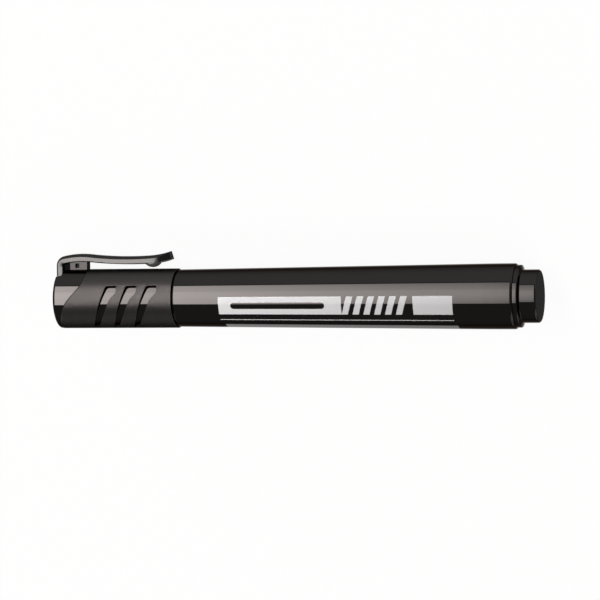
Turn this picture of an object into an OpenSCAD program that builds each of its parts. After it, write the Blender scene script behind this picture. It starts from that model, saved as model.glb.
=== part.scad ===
// Permanent marker: capped, lying on its side with the clip's tip on the table.
// Millimetres. The pieces are drawn upright about their own axis, tail at zero and cap end up,
// clip towards +X, and then laid down along +X by lay_down().

/* [Overall] */
// tail face to the closed end of the cap
marker_length = 137.4; // [130:0.2:146]
// closed end of the cap to its mouth
cap_length = 35; // [34.4:0.2:37]

/* [Barrel] */
// outside diameter beside the cap's mouth
barrel_front_d = 16.08; // [15.6:0.02:16.3]
// outside diameter of the straight stretch at the tail
barrel_rear_d = 18.04; // [17.6:0.02:18.8]
// straight stretch at the tail before the taper starts
barrel_straight = 6.5; // [4:0.5:12]
// wall of the tapered tube
barrel_wall = 1.2; // [1:0.05:1.3]
// chamfer on the tail edge
barrel_edge = 0.5; // [0.3:0.05:0.6]
// how many inner ribs centre the reservoir
rib_count = 6; // [4:1:8]
// width of each inner rib
rib_width = 1; // [0.8:0.1:1.4]

/* [Neck] */
// outside diameter of the neck that the cap slides on
neck_d = 12.3; // [12:0.1:12.4]
// shoulder to the end of the neck
neck_length = 9.6; // [9:0.2:11]
// wall of the neck
neck_wall = 1; // [0.8:0.1:1.2]
// height of the round bead that holds the cap
bead_height = 0.1; // [0.06:0.01:0.12]

/* [Tail plug] */
// diameter of the stub that shows at the tail
stub_d = 14.6; // [13.8:0.02:15]
// length of the stub, from its face to the ring
stub_length = 4.6; // [3.6:0.1:6]
// rounding of the stub's end
stub_round = 0.5; // [0.2:0.1:1]
// diameter of the ring against the barrel
ring_d = 17.16; // [16.6:0.02:17.3]
// thickness of the ring, bevel included
ring_thick = 1.7; // [1.4:0.1:2.4]
// axial length of the ring's bevel
ring_bevel = 0.45; // [0.3:0.05:1]
// length of the skirt inside the barrel
skirt_length = 8.5; // [6:0.5:12]
// wall of the skirt
skirt_wall = 0.9; // [0.7:0.1:1.1]

/* [Nose] */
// diameter of the nozzle round the nib
nozzle_d = 6.8; // [6.4:0.1:7.2]
// length of the nozzle
nozzle_length = 7.4; // [6:0.2:8]
// length of the cone between collar and nozzle
cone_length = 3.8; // [3:0.2:4.4]
// thickness of the collar on the neck
collar_thick = 1; // [0.8:0.1:1.4]
// air grooves along the nib's bore
groove_count = 3; // [2:1:5]
// nib diameter
nib_d = 4.4; // [3.6:0.1:4.6]
// nib length outside the nozzle
nib_out = 5.6; // [4.6:0.1:6]
// diameter of the nib's round writing end
nib_tip_d = 1.9; // [1.4:0.1:2.4]
// nib length inside the reservoir
nib_in = 10; // [6:1:16]

/* [Reservoir] */
// diameter of the fibre rod
reservoir_d = 11.3; // [10.8:0.1:11.5]
// thickness of the film round the rod
film_thick = 0.15; // [0.1:0.05:0.2]

/* [Cap] */
// outside diameter of the soft sleeve
sleeve_d = 16.66; // [16.5:0.02:17.2]
// thickness of the soft sleeve
sleeve_thick = 0.9; // [0.7:0.05:1]
// how far the sleeve stands above the gloss end
sleeve_proud = 0.04; // [0.02:0.01:0.1]
// thickness of the closed end
end_wall = 4.4; // [4:0.1:4.8]
// rounding of the closed end's edge
end_round = 0.5; // [0.2:0.1:0.8]
// sleeve edge from the cap's end, at the clip side
edge_high = 8.5; // [8.2:0.1:9]
// sleeve edge from the cap's end, at the knee below its slant
edge_knee = 3.3; // [2.4:0.1:4]
// sleeve edge from the cap's end, opposite the clip
edge_low = 0.9; // [0.8:0.1:1.4]

/* [Windows] */
// slanted windows along the sleeve, on each side
window_count = 3; // [1:1:3]
// distance between windows along the cap
window_pitch = 5.9; // [5:0.1:6.2]
// mouth of the cap to the first window's top, at its middle
window_start = 6.1; // [5:0.1:7]
// angle of a window's top above the side of the cap
window_top = 25; // [15:1:35]
// width of a window at its top
window_width = 2.9; // [1.8:0.1:3.2]
// width of a window at its lower end
window_foot = 1.3; // [1:0.1:1.6]
// angle of a window's lower end below the side of the cap
window_end = 72; // [60:1:80]
// how far a window leans towards the cap's end on its way down
window_lean = 6.9; // [4:0.1:8]

/* [Inner cap] */
// wall of the sealing cup
cup_wall = 0.8; // [0.6:0.1:1]
// thickness of the cup's mouth flange
cup_flange = 1.2; // [0.8:0.1:1.6]
// length of the sealing lip on the nozzle
lip_length = 2.4; // [1.6:0.2:3.2]

/* [Clip] */
// width of the clip
clip_width = 4.6; // [4:0.1:5.2]
// sheet thickness
clip_sheet = 0.5; // [0.4:0.05:0.6]
// height of the clip's flat flanks
clip_flank = 1.3; // [1.1:0.05:1.4]
// height of the crowned top above the flanks
clip_crown = 1; // [0.7:0.05:1.1]
// highest point of the arm above the axis
clip_height = 12.7; // [12.4:0.1:13]
// how far the leg stands out past the cap's end
leg_proud = 1.3; // [1.1:0.05:1.5]
// inside radius of the corner between leg and arm
corner_inside = 0.4; // [0.3:0.05:0.6]
// radius of the arm's hump over the plinth
hump_radius = 25; // [23:1:28]
// radius of the arm's long dip
dip_radius = 100; // [94:2:106]
// radius of the upturned tip
tip_radius = 26; // [22:1:30]
// slope of the arm where it leaves the leg
slope_start = 13; // [12:0.5:15]
// slope at the end of the hump, downwards
slope_hump = 6.5; // [5.5:0.5:7]
// slope at the end of the dip, upwards
slope_dip = 3.2; // [2.6:0.1:3.4]
// slope at the end of the tip, upwards
slope_tip = 17.5; // [14:0.5:20]
// radius of the dimple pressed down near the tip
dimple_radius = 3; // [2.6:0.1:3.4]
// gap between the dimple and the sleeve
dimple_gap = 0.4; // [0.3:0.05:0.8]
// length of the rounded nose
nose_length = 5; // [4:0.1:5.4]
// width of the foot that sits in the cap
foot_width = 2.6; // [2.2:0.1:3]
// height of the foot above the axis
foot_height = 5.2; // [4.8:0.1:5.4]
// length of the foot inside the cap
foot_length = 3.8; // [3:0.1:3.9]

/* [Plinth] */
// width of the plinth under the clip
plinth_width = 2.6; // [2:0.1:2.8]
// how far each side of the plinth spreads towards the ledge
plinth_flare = 0.12; // [0.1:0.02:0.16]
// plinth's free end from the cap's end
plinth_length = 8.4; // [7:0.1:8.4]
// width of the plinth's root behind the clip's leg
root_width = 4.3; // [3.4:0.1:4.6]
// ledge that the leg stands in, above the axis
ledge_height = 6.25; // [6:0.05:6.6]
// length of the plinth's window
hole_length = 1.2; // [0.8:0.1:1.6]
// height of the plinth's window
hole_height = 1.3; // [0.8:0.1:1.4]
// depth of the plinth's window, from each side
hole_depth = 0.9; // [0.6:0.1:1]

/* [Fits] */
// radial gap of pieces pressed into each other
press_gap = 0.02; // [0.01:0.01:0.05]
// radial gap between the bead and the cap's bore
cap_gap = 0.06; // [0.04:0.01:0.1]
// radial gap between the nozzle and the sealing lip
lip_gap = 0.05; // [0.03:0.01:0.08]
// axial gap at the cap's mouth
mouth_gap = 0.2; // [0.15:0.05:0.4]
// gap round the clip's foot in its slot
foot_gap = 0.15; // [0.13:0.01:0.2]
// gap between the clip and the plinth or ledge
clip_gap = 0.2; // [0.15:0.05:0.3]

/* [Hidden] */
$fn = 96;
eps = 0.01;
far = 60;

barrel_start = stub_length + ring_thick;
cap_mouth = marker_length - cap_length;
shoulder = cap_mouth - mouth_gap;
neck_end = shoulder + neck_length;
barrel_front_r = barrel_front_d / 2;
barrel_rear_r = barrel_rear_d / 2;
taper_start = barrel_start + barrel_straight;
bore_front_r = barrel_front_r - barrel_wall;
bore_rear_r = barrel_rear_r - barrel_wall;
bore_end = shoulder - 3;
skirt_end = barrel_start + skirt_length;
skirt_r = bore_rear_r - press_gap;
neck_r = neck_d / 2;
neck_bore_r = neck_r - neck_wall;
bead_r = neck_r + bead_height;
bead_at = shoulder + neck_length / 2;
bead_arc = 2;

reservoir_r = reservoir_d / 2;
film_r = reservoir_r + press_gap + film_thick;
reservoir_start = barrel_start + 2;
reservoir_end = bore_end - 0.3;
rib_r = film_r + press_gap;
rib_start = skirt_end + 0.5;

collar_end = neck_end + collar_thick;
cone_end = collar_end + cone_length;
nozzle_end = cone_end + nozzle_length;
nozzle_r = nozzle_d / 2;
nib_r = nib_d / 2;
nib_bore_r = nib_r + press_gap;
nib_start = reservoir_end - nib_in;
nib_end = nozzle_end + nib_out;
nib_tip_r = nib_tip_d / 2;
plug_r = neck_bore_r - press_gap;
plug_start = bore_end + 0.4;
plug_wall = 1;

sleeve_r = sleeve_d / 2;
shell_r = sleeve_r - sleeve_thick;
gloss_r = sleeve_r - sleeve_proud;
bore_r = bead_r + cap_gap;
cap_floor = marker_length - end_wall;
sleeve_start = cap_mouth + 0.3;

cup_flange_r = bore_r - press_gap;
cup_start = cone_end + 0.3;
cup_inner_r = nozzle_r + lip_gap + 0.6;
cup_r = cup_inner_r + cup_wall;
cup_end = cap_floor - press_gap;
cup_floor = cup_end - cup_wall;

clip_depth = clip_flank + clip_crown;
crown_r = (pow(clip_width / 2, 2) + pow(clip_crown, 2)) / (2 * clip_crown);
corner_r = clip_depth + corner_inside;
leg_face = marker_length + leg_proud;
leg_inside = leg_face - clip_depth;
strap_face = leg_face - 0.4;
ledge_wall = leg_inside - clip_gap;
corner_at = [leg_face - corner_r, clip_height - hump_radius + (hump_radius - corner_r) * cos(slope_start)];
hump_at = corner_at - (hump_radius - corner_r) * [sin(slope_start), cos(slope_start)];
dip_at = hump_at + (hump_radius + dip_radius) * [-sin(slope_hump), cos(slope_hump)];
tip_at = dip_at - (dip_radius - tip_radius) * [sin(slope_dip), cos(slope_dip)];
arm_end = tip_at - tip_radius * [sin(slope_tip), cos(slope_tip)];
dimple_at = arm_end[0] + 5.4;
dimple_middle = sleeve_r + dimple_gap + dimple_radius;
foot_end = marker_length - foot_length;
plinth_end = marker_length - plinth_length;
plinth_top = clip_height - clip_sheet - 1.15;
root_start = ledge_wall - 2.2;
root_top = corner_at[1] + corner_inside - clip_gap;
plinth_hole_at = [marker_length - 5.5, (gloss_r + clip_height - clip_depth) / 2 - 0.05];

// A place on one bend of the clip's crown: [axial, height, slope, half width]; a hollow bend has its radius negative.
function on_bend(middle, radius, slope, half) = concat(middle + radius * [sin(slope), cos(slope)], [slope, half]);

// Places along the clip's crown, from the leg's foot to the nose.
function clip_places(inset) =
    let (half = clip_width / 2 - inset,
         tip_stop = slope_tip - inset / tip_radius * 180 / PI,
         nose_start = slope_tip - nose_length / tip_radius * 180 / PI)
    concat([[leg_face, ledge_height + clip_gap / 2 - 2 * inset, 90, half]],
           [for (i = [0 : 8]) on_bend(corner_at, corner_r, 90 + (slope_start - 90) * i / 8, half)],
           [for (i = [1 : 8]) on_bend(hump_at, hump_radius, slope_start - (slope_start + slope_hump) * i / 8, half)],
           [for (i = [1 : 8]) on_bend(dip_at, -dip_radius, (slope_hump + slope_dip) * i / 8 - slope_hump, half)],
           [for (i = [1 : 4]) on_bend(tip_at, -tip_radius, slope_dip + (nose_start - slope_dip) * i / 4, half)],
           [for (turn = [10 : 10 : 80])
               on_bend(tip_at, -tip_radius, nose_start + (tip_stop - nose_start) * sin(turn) / sin(80), half * cos(turn))]);

// One cross-section of the clip at a place: crowned top, flat flanks, flat underside.
function clip_row(place, inset) =
    let (half = place[3],
         foot = clip_depth + (inset > 0 ? corner_inside / 2 : 0),
         crown = [for (i = [-4 : 4]) [half * i / 4, crown_r - sqrt(pow(crown_r - inset, 2) - pow(half * i / 4, 2))]])
    [for (point = concat([[-half, foot]], crown, [[half, foot]]))
        [place[1] - point[1] * cos(place[2]), point[0], place[0] - point[1] * sin(place[2])]];

function clip_points(inset) = [for (place = clip_places(inset)) each clip_row(place, inset)];

// The clip leans until it touches the table that the barrel's straight stretch lies on.
clip_lean = max([for (point = clip_points(0))
    let (reach = norm([point[0], point[1]]))
        reach > barrel_rear_r ? acos(barrel_rear_r / reach) + atan2(point[1], point[0]) : 0]);
clip_side = max([for (point = clip_points(0)) point[0] * sin(clip_lean) + point[1] * cos(clip_lean)]);
x_shift = -leg_face / 2;
y_shift = (clip_side - barrel_rear_r) / 2;

// Lays an upright piece down: axis along +X, clip down and towards -Y.
module lay_down() {
    translate([x_shift, y_shift, barrel_rear_r])
        rotate([-clip_lean, 0, 0])
            rotate([0, 90, 0])
                children();
}

// Draws a side view (along the axis, above the axis) right through the piece from one side to the other.
module through_side(half = far) {
    rotate([0, -90, -90])
        translate([0, 0, -half])
            linear_extrude(2 * half)
                children();
}

// A turned ring between two radii and two heights.
module ring(inner_r, outer_r, low, high) {
    rotate_extrude()
        translate([inner_r, low])
            square([outer_r - inner_r, high - low]);
}

// A turned solid from a list of [radius, height] points.
module turned(points) {
    rotate_extrude()
        polygon(points);
}

// Half outline of a round bar with its top edge rounded.
module round_end_half(r, low, high, edge) {
    translate([0, low])
        square([r - edge, high - low]);
    translate([0, low])
        square([r, high - low - edge]);
    translate([r - edge, high - edge])
        circle(edge);
}

module barrel() {
    color([0.03, 0.03, 0.03])
        lay_down() {
            difference() {
                turned([[0, barrel_start], [barrel_rear_r - barrel_edge, barrel_start],
                        [barrel_rear_r, barrel_start + barrel_edge], [barrel_rear_r, taper_start],
                        [barrel_front_r, shoulder], [neck_r, shoulder], [neck_r, neck_end - 0.3],
                        [neck_r - 0.3, neck_end], [0, neck_end]]);
                turned([[0, barrel_start - 1], [bore_rear_r, barrel_start - 1], [bore_rear_r, skirt_end],
                        [bore_front_r, bore_end], [neck_bore_r, bore_end], [neck_bore_r, neck_end + 1],
                        [0, neck_end + 1]]);
            }
            snap_bead();
            reservoir_ribs();
        }
}

// Low round bead on the neck.
module snap_bead() {
    rotate_extrude()
        intersection() {
            translate([bead_r - bead_arc, bead_at])
                circle(bead_arc);
            translate([neck_r - 0.3, bead_at - bead_arc])
                square(2 * bead_arc);
        }
}

// Ribs that hold the reservoir in the middle of the barrel.
module reservoir_ribs() {
    intersection() {
        for (turn = [0 : rib_count - 1])
            rotate([0, 0, (turn + 0.5) * 360 / rib_count])
                translate([0, -rib_width / 2, rib_start])
                    cube([barrel_rear_r, rib_width, bore_end - rib_start]);
        difference() {
            turned([[0, skirt_end], [bore_rear_r + 0.3, skirt_end], [bore_front_r + 0.3, bore_end], [0, bore_end]]);
            ring(0, rib_r, skirt_end - 1, bore_end + 1);
        }
    }
}

module tail_plug() {
    color([0.03, 0.03, 0.03])
        lay_down()
            difference() {
                union() {
                    rotate_extrude()
                        translate([0, barrel_start])
                            mirror([0, 1])
                                round_end_half(stub_d / 2, 0, barrel_start, stub_round);
                    turned([[0, stub_length], [stub_d / 2, stub_length], [ring_d / 2, stub_length + ring_bevel],
                            [ring_d / 2, barrel_start], [0, barrel_start]]);
                    ring(0, skirt_r, barrel_start - eps, skirt_end);
                }
                ring(0, skirt_r - skirt_wall, barrel_start, skirt_end + 1);
                ring(0, stub_d / 2 - 1.6, 1.6, barrel_start + eps);
            }
}

// A point on the smooth curve through four points, between the second and the third.
function smooth_point(a, b, c, d, t) =
    0.5 * (2 * b + (c - a) * t + (2 * a - 5 * b + 4 * c - d) * t * t + (3 * b - a - 3 * c + d) * t * t * t);

// Side view of everything on the cap's end side of the sleeve's S-shaped edge.
module gloss_region(shift = 0) {
    steps = 6;
    marks = [[1.5, edge_high + 0.2], [1, edge_high + 0.1], [0.46, edge_high - 0.6], [-0.22, edge_knee],
             [-0.83, edge_low + 0.4], [-1.1, edge_low], [-1.5, edge_low]];
    places = [for (mark = marks) [marker_length - mark[1] + shift, mark[0] * sleeve_r]];
    curve = [for (i = [1 : len(places) - 3], step = [0 : steps - 1])
        smooth_point(places[i - 1], places[i], places[i + 1], places[i + 2], step / steps)];
    last = places[len(places) - 2];
    polygon(concat(curve, [last, [marker_length + far, last[1]], [marker_length + far, curve[0][1]]]));
}

// Side view of one window: a slanted band that follows the round of the cap.
module window_shape(top_z) {
    steps = 14;
    function lean(turn) = window_lean * (window_top - turn) / (window_top + 90);
    function half(turn) = (window_width + (window_foot - window_width) * (window_top - turn) / (window_top + 90)) / 2;
    function side(turn, sign) = [top_z + lean(turn) + sign * half(turn), sleeve_r * sin(turn)];
    turns = [for (i = [0 : steps]) window_top - (window_top + 80) * i / steps];
    foot = sleeve_r + 1;
    polygon(concat([for (turn = turns) side(turn, -1)],
                   [[top_z + window_lean - half(-90), -foot], [top_z + window_lean + half(-90), -foot]],
                   [for (i = [0 : steps]) side(turns[steps - i], 1)]));
}

// Strip underneath the cap that the windows leave whole.
module under_strip() {
    translate([0, 0, cap_mouth - 1])
        linear_extrude(cap_length + 2)
            polygon([[0, 0], [-far, -far / tan(window_end)], [-far, far / tan(window_end)]]);
}

module cap_shell() {
    color([0.03, 0.03, 0.03])
        lay_down()
            difference() {
                union() {
                    ring(0, shell_r, cap_mouth, marker_length - end_round);
                    intersection() {
                        rotate_extrude()
                            round_end_half(gloss_r, cap_mouth, marker_length, end_round);
                        through_side()
                            gloss_region();
                    }
                    plinth();
                }
                ring(0, bore_r, cap_mouth - 1, cap_floor);
                clip_seat();
            }
}

// Raises a plan (along the axis, across it) between two heights above the axis.
module raised(low, high) {
    rotate([0, -90, 0])
        translate([0, 0, -high])
            linear_extrude(high - low)
                children();
}

// Narrow block under the clip's arm that flares into a root behind the leg.
module plinth() {
    half = plinth_width / 2;
    edge = 0.25;
    flare = root_width / 2 - half;
    difference() {
        union() {
            raised(bore_r + 0.5, plinth_top)
                polygon([[plinth_end, half - edge], [plinth_end + edge, half], [root_start, half],
                         [ledge_wall, half + plinth_flare], [ledge_wall, -half - plinth_flare],
                         [root_start, -half], [plinth_end + edge, -half], [plinth_end, edge - half]]);
            raised(bore_r + 0.5, root_top)
                polygon([[root_start, half], [ledge_wall, half + flare], [ledge_wall, -half - flare],
                         [root_start, -half]]);
        }
        difference() {
            through_side()
                plinth_hole();
            through_side(half - hole_depth)
                plinth_hole(1);
        }
    }
}

// Side view of the small window in the plinth.
module plinth_hole(grow = 0) {
    size = [hole_length + 2 * grow, hole_height + 2 * grow];
    translate(plinth_hole_at - size / 2)
        square(size);
}

// What the cap leaves free for the clip's leg and foot.
module clip_seat() {
    through_side()
        translate([ledge_wall, ledge_height])
            square(far);
    through_side(foot_width / 2 + foot_gap)
        translate([foot_end - foot_gap, foot_height - clip_sheet / 2 - foot_gap])
            square([far, clip_sheet + 2 * foot_gap]);
}

module cap_sleeve() {
    color([0.08, 0.08, 0.08])
        lay_down()
            difference() {
                rotate_extrude()
                    difference() {
                        round_end_half(sleeve_r, sleeve_start, marker_length, end_round);
                        translate([0, sleeve_start - 1])
                            square([shell_r + press_gap, cap_length + 2]);
                    }
                through_side()
                    gloss_region(-0.06);
                difference() {
                    through_side()
                        for (i = [0 : window_count - 1])
                            window_shape(cap_mouth + window_start + i * window_pitch);
                    under_strip();
                }
            }
}

// The clip's strip, bent and narrowed to its nose, or the hollow under it.
module clip_strip(inset = 0) {
    rows = len(clip_places(inset));
    count = len(clip_row(clip_places(inset)[0], inset));
    last = (rows - 1) * count;
    sides = [for (row = [0 : rows - 2], i = [0 : count - 1], half = [0, 1])
        let (here = row * count, next = (i + 1) % count)
            half == 0 ? [here + i, here + next, here + count + i]
                      : [here + next, here + count + next, here + count + i]];
    polyhedron(points = clip_points(inset),
               faces = concat(sides, [[for (i = [count - 1 : -1 : 0]) i]], [[for (i = [0 : count - 1]) last + i]]));
}

module pocket_clip() {
    color([0.72, 0.71, 0.7])
        lay_down() {
            difference() {
                clip_strip();
                clip_strip(clip_sheet);
            }
            translate([foot_height - clip_sheet / 2, -foot_width / 2, foot_end])
                cube([clip_sheet, foot_width, strap_face - foot_end]);
            translate([foot_height - clip_sheet / 2, -foot_width / 2, strap_face - clip_sheet])
                cube([ledge_height - foot_height + 1, foot_width, clip_sheet]);
            intersection() {
                translate([dimple_middle, 0, dimple_at])
                    sphere(dimple_radius);
                translate([0, 0.1 - clip_width / 2, dimple_at - far / 2])
                    cube([clip_height - clip_depth + 0.9, clip_width - 0.2, far]);
            }
        }
}

module inner_cap() {
    color([0.85, 0.86, 0.84])
        lay_down()
            difference() {
                union() {
                    ring(0, cup_flange_r, cup_start, cup_start + cup_flange);
                    ring(0, cup_r, cup_start, cup_end);
                }
                ring(0, nozzle_r + lip_gap, cup_start - 1, cup_start + lip_length + 1);
                ring(0, cup_inner_r, cup_start + lip_length, cup_floor);
            }
}

module nib_holder() {
    color([0.05, 0.05, 0.05])
        lay_down()
            difference() {
                turned([[0, plug_start], [plug_r - 0.3, plug_start], [plug_r, plug_start + 0.6], [plug_r, neck_end],
                        [neck_r - 0.1, neck_end], [neck_r - 0.1, collar_end], [nozzle_r, cone_end],
                        [nozzle_r, nozzle_end - 0.4], [nozzle_r - 0.4, nozzle_end], [0, nozzle_end]]);
                ring(0, plug_r - plug_wall, plug_start - 1, neck_end - 2);
                ring(0, nib_bore_r, plug_start, nozzle_end + 1);
                for (turn = [0 : groove_count - 1])
                    rotate([0, 0, turn * 360 / groove_count])
                        translate([0, -0.3, neck_end - 3])
                            cube([nib_bore_r + 0.35, 0.6, nozzle_end]);
            }
}

module nib() {
    tip_middle = nib_end - nib_tip_r;
    cone_turn = 25;
    cone_top_r = nib_tip_r * cos(cone_turn);
    cone_top = tip_middle + nib_tip_r * sin(cone_turn);
    cone_foot = cone_top - (nib_r - cone_top_r) / tan(cone_turn);
    color([0.1, 0.09, 0.1])
        lay_down()
            rotate_extrude() {
                polygon([[0, nib_start], [nib_r - 0.8, nib_start], [nib_r, nib_start + 1.6], [nib_r, cone_foot],
                         [cone_top_r, cone_top], [0, cone_top]]);
                intersection() {
                    translate([0, tip_middle])
                        circle(nib_tip_r);
                    translate([0, tip_middle])
                        square(nib_tip_d);
                }
            }
}

module ink_reservoir() {
    color([0.25, 0.24, 0.27])
        lay_down()
            difference() {
                ring(0, reservoir_r, reservoir_start, reservoir_end);
                turned([[0, nib_start - press_gap], [nib_r - 0.8 + press_gap, nib_start - press_gap],
                        [nib_bore_r, nib_start + 1.6], [nib_bore_r, reservoir_end + 1], [0, reservoir_end + 1]]);
            }
}

module reservoir_film() {
    color([0.8, 0.82, 0.85])
        lay_down()
            ring(reservoir_r + press_gap, film_r, reservoir_start + 0.5, reservoir_end - 0.5);
}

barrel();
tail_plug();
cap_shell();
cap_sleeve();
pocket_clip();
inner_cap();
nib_holder();
nib();
ink_reservoir();
reservoir_film();
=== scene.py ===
from math import asin, atan2, cos, degrees, exp, pi, radians, sin, sqrt, tan

import bmesh
import bpy
from mathutils import Matrix, Vector


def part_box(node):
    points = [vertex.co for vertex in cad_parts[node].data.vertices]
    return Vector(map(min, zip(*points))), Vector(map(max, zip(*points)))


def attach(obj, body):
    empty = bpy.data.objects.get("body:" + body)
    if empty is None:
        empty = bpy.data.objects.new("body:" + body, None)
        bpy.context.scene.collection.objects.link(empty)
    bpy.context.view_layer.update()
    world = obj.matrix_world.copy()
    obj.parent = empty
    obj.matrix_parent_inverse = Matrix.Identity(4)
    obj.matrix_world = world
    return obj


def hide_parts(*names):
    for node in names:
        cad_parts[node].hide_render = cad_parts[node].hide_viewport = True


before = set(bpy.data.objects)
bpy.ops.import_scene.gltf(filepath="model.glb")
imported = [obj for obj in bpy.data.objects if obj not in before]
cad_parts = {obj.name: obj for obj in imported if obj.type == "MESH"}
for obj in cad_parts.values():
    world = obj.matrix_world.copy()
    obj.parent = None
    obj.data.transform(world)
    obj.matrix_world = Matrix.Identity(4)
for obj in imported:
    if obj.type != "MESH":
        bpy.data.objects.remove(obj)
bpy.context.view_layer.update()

# every piece is drawn in mm about its own axis (z, tail face at 0, clip towards +x, label towards -y)
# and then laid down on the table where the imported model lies
setOut = {"lean": 51.9572, "mm": 0.001}
barrelLow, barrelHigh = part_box("barrel")
axisMiddle = (barrelLow + barrelHigh) / 2
tailAt = Vector((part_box("tail_plug")[0].x, axisMiddle.y, axisMiddle.z))
turnDown = Matrix.Rotation(radians(-setOut["lean"]), 4, "X") @ Matrix.Rotation(pi / 2, 4, "Y")
layDown = Matrix.Translation(tailAt) @ turnDown @ Matrix.Scale(setOut["mm"], 4)
clipWay = turnDown.to_3x3() @ Vector((1, 0, 0))
labelWay = turnDown.to_3x3() @ Vector((0, -1, 0))
alongWay = turnDown.to_3x3() @ Vector((0, 0, 1))
print("set out: tail face at", [round(v, 5) for v in tailAt])


class Wire:  # a shader socket that takes part in sums
    def __init__(self, tree, socket=None):
        self.tree, self.socket = tree, socket

    def add(self, kind, settings=None, inputs=None, out=0):
        made = self.tree.nodes.new(kind)
        for name, value in (settings or {}).items():
            setattr(made, name, value)
        for name, value in (inputs or {}).items():
            if isinstance(value, Wire):
                self.tree.links.new(value.socket, made.inputs[name])
            else:
                made.inputs[name].default_value = value
        return Wire(self.tree, made.outputs[out] if made.outputs else None)

    def math(self, operation, *others):
        return self.add("ShaderNodeMath", {"operation": operation}, dict(enumerate((self,) + others)))

    def after(self, first, operation):  # the same with this value second
        return self.add("ShaderNodeMath", {"operation": operation}, {0: first, 1: self})

    def __add__(self, other):
        return self.math("ADD", other)

    def __sub__(self, other):
        return self.math("SUBTRACT", other)

    def __rsub__(self, other):
        return self.after(other, "SUBTRACT")

    def __mul__(self, other):
        return self.math("MULTIPLY", other)

    def __truediv__(self, other):
        return self.math("DIVIDE", other)

    def __rtruediv__(self, other):
        return self.after(other, "DIVIDE")

    __radd__, __rmul__ = __add__, __mul__

    def rise(self, low, high):  # smooth step from 0 at low to 1 at high
        return self.add("ShaderNodeMapRange", {"interpolation_type": "SMOOTHSTEP"},
                        {"Value": self, "From Min": low, "From Max": high})

    def between(self, low, high, soft):  # 1 inside the two edges, 0 outside
        return self.rise(low - soft, low + soft) * (1 - self.rise(high - soft, high + soft))

    def mix(self, first, second):  # colour between first and second, by this value
        return self.add("ShaderNodeMix", {"data_type": "RGBA"}, {0: self, 6: first, 7: second}, 2)

    def noise(self, scale, detail=2.0, rough=0.5):
        return self.add("ShaderNodeTexNoise", {}, {"Vector": self, "Scale": scale, "Detail": detail,
                                                  "Roughness": rough})

    def stretched(self, x, y, z):
        return self.add("ShaderNodeVectorMath", {"operation": "MULTIPLY"}, {0: self, 1: (x, y, z)})

    def bumped(self, strength, distance):
        return self.add("ShaderNodeBump", {},
                        {"Strength": strength, "Distance": distance, "Height": self})

    def parts(self):  # the three numbers of a vector
        node = self.add("ShaderNodeSeparateXYZ", {}, {"Vector": self}).socket.node
        return [Wire(self.tree, out) for out in node.outputs]


def newMaterial(name):  # an empty material and the marker's own mm coordinates in it
    material = bpy.data.materials.new(name)
    material.use_nodes = True
    material.node_tree.nodes.clear()
    start = Wire(material.node_tree)
    place = start.add("ShaderNodeMapping", {"vector_type": "TEXTURE"},
                      {"Vector": start.add("ShaderNodeTexCoord", out="Object"), "Location": tailAt,
                       "Rotation": turnDown.to_euler(), "Scale": (setOut["mm"],) * 3})
    return material, start, place


def closeMaterial(start, values):
    shader = start.add("ShaderNodeBsdfPrincipled", {}, values)
    start.add("ShaderNodeOutputMaterial", {}, {"Surface": shader})


# a mirror with a low rim keeps the edges black on white
gloss = {"black": (0.0278, 0.0261, 0.0256, 1), "haze": (0.031, 0.0292, 0.0285, 1), "rough": 0.03,
         "satin": 0.21, "ior": 1.4, "mirror": 1.0, "rim": (0.41, 0.4, 0.395, 1),
         "wave": (0.008, 0.0001)}


def glossFinish(place):  # base colour, roughness and normal of the polished black mouldings
    flow = place.stretched(1, 1, 0.12).noise(1.3, 3)
    hair = place.stretched(6, 6, 0.25).noise(2.2, 2).rise(0.66, 0.74)
    dust = place.noise(3.4, 4, 0.7).rise(0.62, 0.8)
    colour = (0.5 * flow + 0.35 * dust).mix(gloss["black"], gloss["haze"])
    rough = gloss["rough"] + 0.008 * flow + 0.02 * hair + 0.025 * dust
    return colour, rough, (place.noise(0.25, 1) + 0.1 * hair).bumped(*gloss["wave"])


def glossBlack(name, satin=0.0):
    material, start, place = newMaterial(name)
    colour, rough, normal = glossFinish(place)
    closeMaterial(start, {"Base Color": colour, "Metallic": gloss["mirror"], "Roughness": rough + satin,
                          "Specular Tint": gloss["rim"], "Normal": normal})
    return material


matt = {"mattFace": ((0.008, 0.0077, 0.0076, 1), (0.0145, 0.014, 0.0138, 1)),
        "mattPocket": ((0.03, 0.0292, 0.0288, 1), (0.045, 0.0438, 0.0432, 1)),
        "rough": 0.6, "ior": 1.3, "shine": 0.03}


def mattBlack(name):  # spark-eroded faces of the mouldings
    material, start, place = newMaterial(name)
    black, haze = matt[name]
    grain = place.noise(11, 3, 0.6)
    closeMaterial(start, {"Base Color": place.noise(0.8, 3).mix(black, haze),
                          "Roughness": matt["rough"] + 0.1 * grain, "IOR": matt["ior"],
                          "Specular IOR Level": matt["shine"], "Normal": grain.bumped(0.2, 0.00004)})
    return material


# lengths along the axis from the tail, then mm round the barrel from the label's middle line; the print
# is painted paler towards the cap, a painted light falloff
label = {"silver": (0.46, 0.467, 0.478, 1), "paintedLitSilver": (0.69, 0.695, 0.71, 1), "fade": (18.0, 92.0),
         "rough": 0.13, "edge": 0.035, "r": 8.4,
         "panels": ((89.0, 53.9), (33.7, 22.7)), "top": 0.15, "foot": -4.95,
         "stroke": (84.6, 59.6, -2.3, 0.95), "bars": (52.8, 34.7, 3.05, 1.75, -0.32),
         # the under band's 0.3 cover prints it darker, a painted shade on the barrel's shaded underside
         "rule": (89.0, 22.7, -7.05, -6.8, 1), "under": (88.0, 22.0, -15.9, -9.15, 0.3)}


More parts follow.
